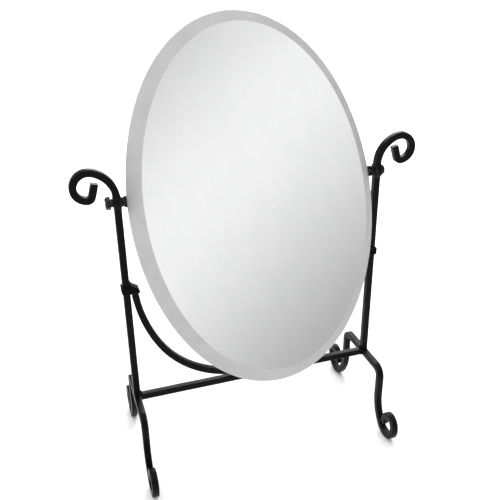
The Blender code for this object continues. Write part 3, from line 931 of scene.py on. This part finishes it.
def mirror_glass():
    """Face, bevel, ground edge and painted back are one shell; each has its own finish."""
    on_face, on_bevel, on_edge, on_back = range(4)
    w, h = GLASS_HALF_WIDTH, GLASS_HALF_HEIGHT
    land = GLASS_FRONT + BEVEL_RISE
    face_w, face_h = w - BEVEL_WIDTH, h - BEVEL_WIDTH
    plan = []  # half width, half height, y, shift, and the finish of the faces up to that ring
    for share in (0.25, 0.5, 0.75, 0.97, 1.0):
        plan.append((face_w * share, face_h * share, GLASS_FRONT, BEVEL_OFFSET, on_face))
    for share in (0.06, 0.35, 0.65, 0.94):
        plan.append((face_w + BEVEL_WIDTH * share, face_h + BEVEL_WIDTH * share,
                     GLASS_FRONT + BEVEL_RISE * share, BEVEL_OFFSET * (1 - share), on_bevel))
    plan += [
        (w - 0.0003, h - 0.0003, land - 0.0001, 0.0, on_bevel),
        (w, h, land + 0.0003, 0.0, on_edge),
        (w, h, GLASS_BACK - 0.0004, 0.0, on_edge),
        (w - 0.0004, h - 0.0004, GLASS_BACK, 0.0, on_edge),
        (w * 0.6, h * 0.6, GLASS_BACK, 0.0, on_back),
    ]
    bm = bmesh.new()
    rings = [oval(bm, *row[:4]) for row in plan]
    count = len(rings[0])
    for near, far, row in zip(rings, rings[1:], plan[1:]):
        for i in range(count):
            j = (i + 1) % count
            bm.faces.new((near[i], far[i], far[j], near[j])).material_index = row[4]
    for ring, (_, _, y, shift, finish) in ((rings[0], plan[0]), (rings[-1], plan[-1])):
        centre = bm.verts.new(tilted((shift, y, -GLASS_DROP)))
        for i in range(count):
            face = bm.faces.new((ring[i], ring[(i + 1) % count], centre))
            face.material_index = finish
    glass = piece_from(bm, "bevelled_mirror", FACE, "mirror",
                       ("mirror_glass",), sharp=8)
    for material in (BEVEL, GLASS_EDGE, GLASS_PAINT):
        glass.data.materials.append(material)


def backing_board():
    """A painted board with eased edges, slightly uneven where it was sawn, and drilled."""
    w, h = GLASS_HALF_WIDTH - BOARD_INSET, GLASS_HALF_HEIGHT - BOARD_INSET
    eased = (
        (0.0006, BOARD_FRONT), (0.0002, BOARD_FRONT + 0.0003), (0.0, BOARD_FRONT + 0.0008),
        (0.0, BOARD_BACK - 0.0016), (0.0004, BOARD_BACK - 0.0008),
        (0.0011, BOARD_BACK - 0.0002), (0.0020, BOARD_BACK),
    )
    bm = bmesh.new()
    rings = [oval(bm, w * share, h * share, BOARD_FRONT) for share in (0.3, 0.65, 0.95)]
    rings += [oval(bm, w - inset, h - inset, y) for inset, y in eased]
    rings += [oval(bm, w * share, h * share, BOARD_BACK) for share in (0.95, 0.65, 0.3)]
    skin(bm, rings)
    to_mirror = MIRROR_FRAME.inverted()
    for vert in bm.verts:
        local = to_mirror @ vert.co
        if math.hypot(local.x / w, (local.z + GLASS_DROP) / h) > 0.97:
            grow = 1 + hand_worked(local, 0.00022, 0.006, 40.0)
            vert.co = tilted((local.x * grow, local.y, local.z * grow))
    board = piece_from(bm, "painted_board", BOARD, "mirror",
                       ("backing_board",), sharp=50)
    for side in (-1, 1):
        for out in SCREW_OUTS:
            drill(board, BOARD_HOLE, tilted((side * out, BOARD_FRONT + 0.0012, 0.0)),
                  tilted((side * out, BOARD_BACK + 0.003, 0.0)), 32)


mirror_glass()
backing_board()
for place in ("left", "middle", "right"):
    tape = frame["nodes"]["bonding_tape_" + place]
    tape.data.materials.clear()
    tape.data.materials.append(FOAM)


# ------------------------------------------------------------------ floor, light and camera
def floor():
    """A plain pale floor that runs out of sight."""
    bm = bmesh.new()
    bmesh.ops.create_grid(bm, x_segments=8, y_segments=8, size=14.0)
    ground = object_from(bm, "floor")
    ground.location = (0.0, 3.0, 0.0)
    n = Nodes("pale_floor")
    cloud = n.noise(1.3, 3.0, 0.5)
    colour = n.mix(n.ramp(cloud, 0.3, 0.7), (0.93, 0.93, 0.93), (0.95, 0.95, 0.95))
    ground.data.materials.append(n.set(Base_Color=colour, Roughness=0.9, Specular_IOR_Level=0.1))


def area_light(name, place, target, size, power):
    light = bpy.data.lights.new(name, "AREA")
    light.shape = "RECTANGLE"
    light.size, light.size_y = size
    light.energy = power
    lamp = bpy.data.objects.new(name, light)
    bpy.context.scene.collection.objects.link(lamp)
    lamp.location = place
    lamp.rotation_euler = (Vector(target) - Vector(place)).to_track_quat("-Z", "Y").to_euler()


def world():
    """Soft studio light: a broad slanting band, a bright ceiling and a pale wall all round."""
    studio = bpy.data.worlds.new("studio")
    bpy.context.scene.world = studio
    studio.use_nodes = True
    tree = studio.node_tree
    background = tree.nodes["Background"]

    def combine(operation, first, second):
        node = tree.nodes.new("ShaderNodeMath")
        node.operation = operation
        tree.links.new(first, node.inputs[0])
        if second:
            tree.links.new(second, node.inputs[1])
        return node.outputs["Value"]

    direction = tree.nodes.new("ShaderNodeTexCoord").outputs["Generated"]
    across = tree.nodes.new("ShaderNodeVectorMath")
    across.operation = "DOT_PRODUCT"
    tree.links.new(direction, across.inputs[0])
    across.inputs[1].default_value = (-0.639, 0.197, 0.744)
    parts = tree.nodes.new("ShaderNodeSeparateXYZ")
    tree.links.new(direction, parts.inputs["Vector"])
    height = parts.outputs["Z"]
    from_band = combine("ABSOLUTE", across.outputs["Value"], None)
    band = smooth_ramp(tree, from_band, 0.0, 0.36, 0.94, 0.395)
    ceiling = smooth_ramp(tree, height, 0.64, 0.92, 0.0, 1.7)
    wall = smooth_ramp(tree, height, 0.02, 0.19, 1.05, 0.0)
    total = combine("MAXIMUM", combine("ADD", band, ceiling), wall)
    tree.links.new(total, background.inputs["Strength"])
    background.inputs["Color"].default_value = (1.0, 1.0, 1.0, 1.0)


def camera():
    """The photograph's viewpoint: yaw from +Y towards +X, pitch downwards, a slight roll."""
    yaw, pitch, roll = math.radians(17.86), math.radians(25.83), math.radians(-0.71)
    place = Vector((-0.2178, -0.6585, 0.5890))
    ahead = Vector((math.sin(yaw) * math.cos(pitch), math.cos(yaw) * math.cos(pitch),
                    -math.sin(pitch)))
    right = Vector((math.cos(yaw), -math.sin(yaw), 0.0))
    up = right.cross(ahead)
    level_right = math.cos(roll) * right + math.sin(roll) * up
    level_up = -math.sin(roll) * right + math.cos(roll) * up
    data = bpy.data.cameras.new("camera")
    data.lens = 48.20
    data.sensor_width = 36.0
    data.clip_end = 100.0
    view = bpy.data.objects.new("camera", data)
    bpy.context.scene.collection.objects.link(view)
    turn = Matrix((level_right, level_up, -ahead)).transposed().to_4x4()
    view.matrix_world = Matrix.Translation(place) @ turn
    bpy.context.scene.camera = view


floor()
world()
area_light("back", (0.5, 1.5, 1.15), target=(0.0, 0.0, 0.15), size=(1.2, 0.7), power=30.0)
area_light("side", (-1.5, -0.2, 0.9), target=(0.0, 0.0, 0.2), size=(0.5, 0.9), power=8.0)
camera()
bpy.context.scene.view_settings.view_transform = "Standard"
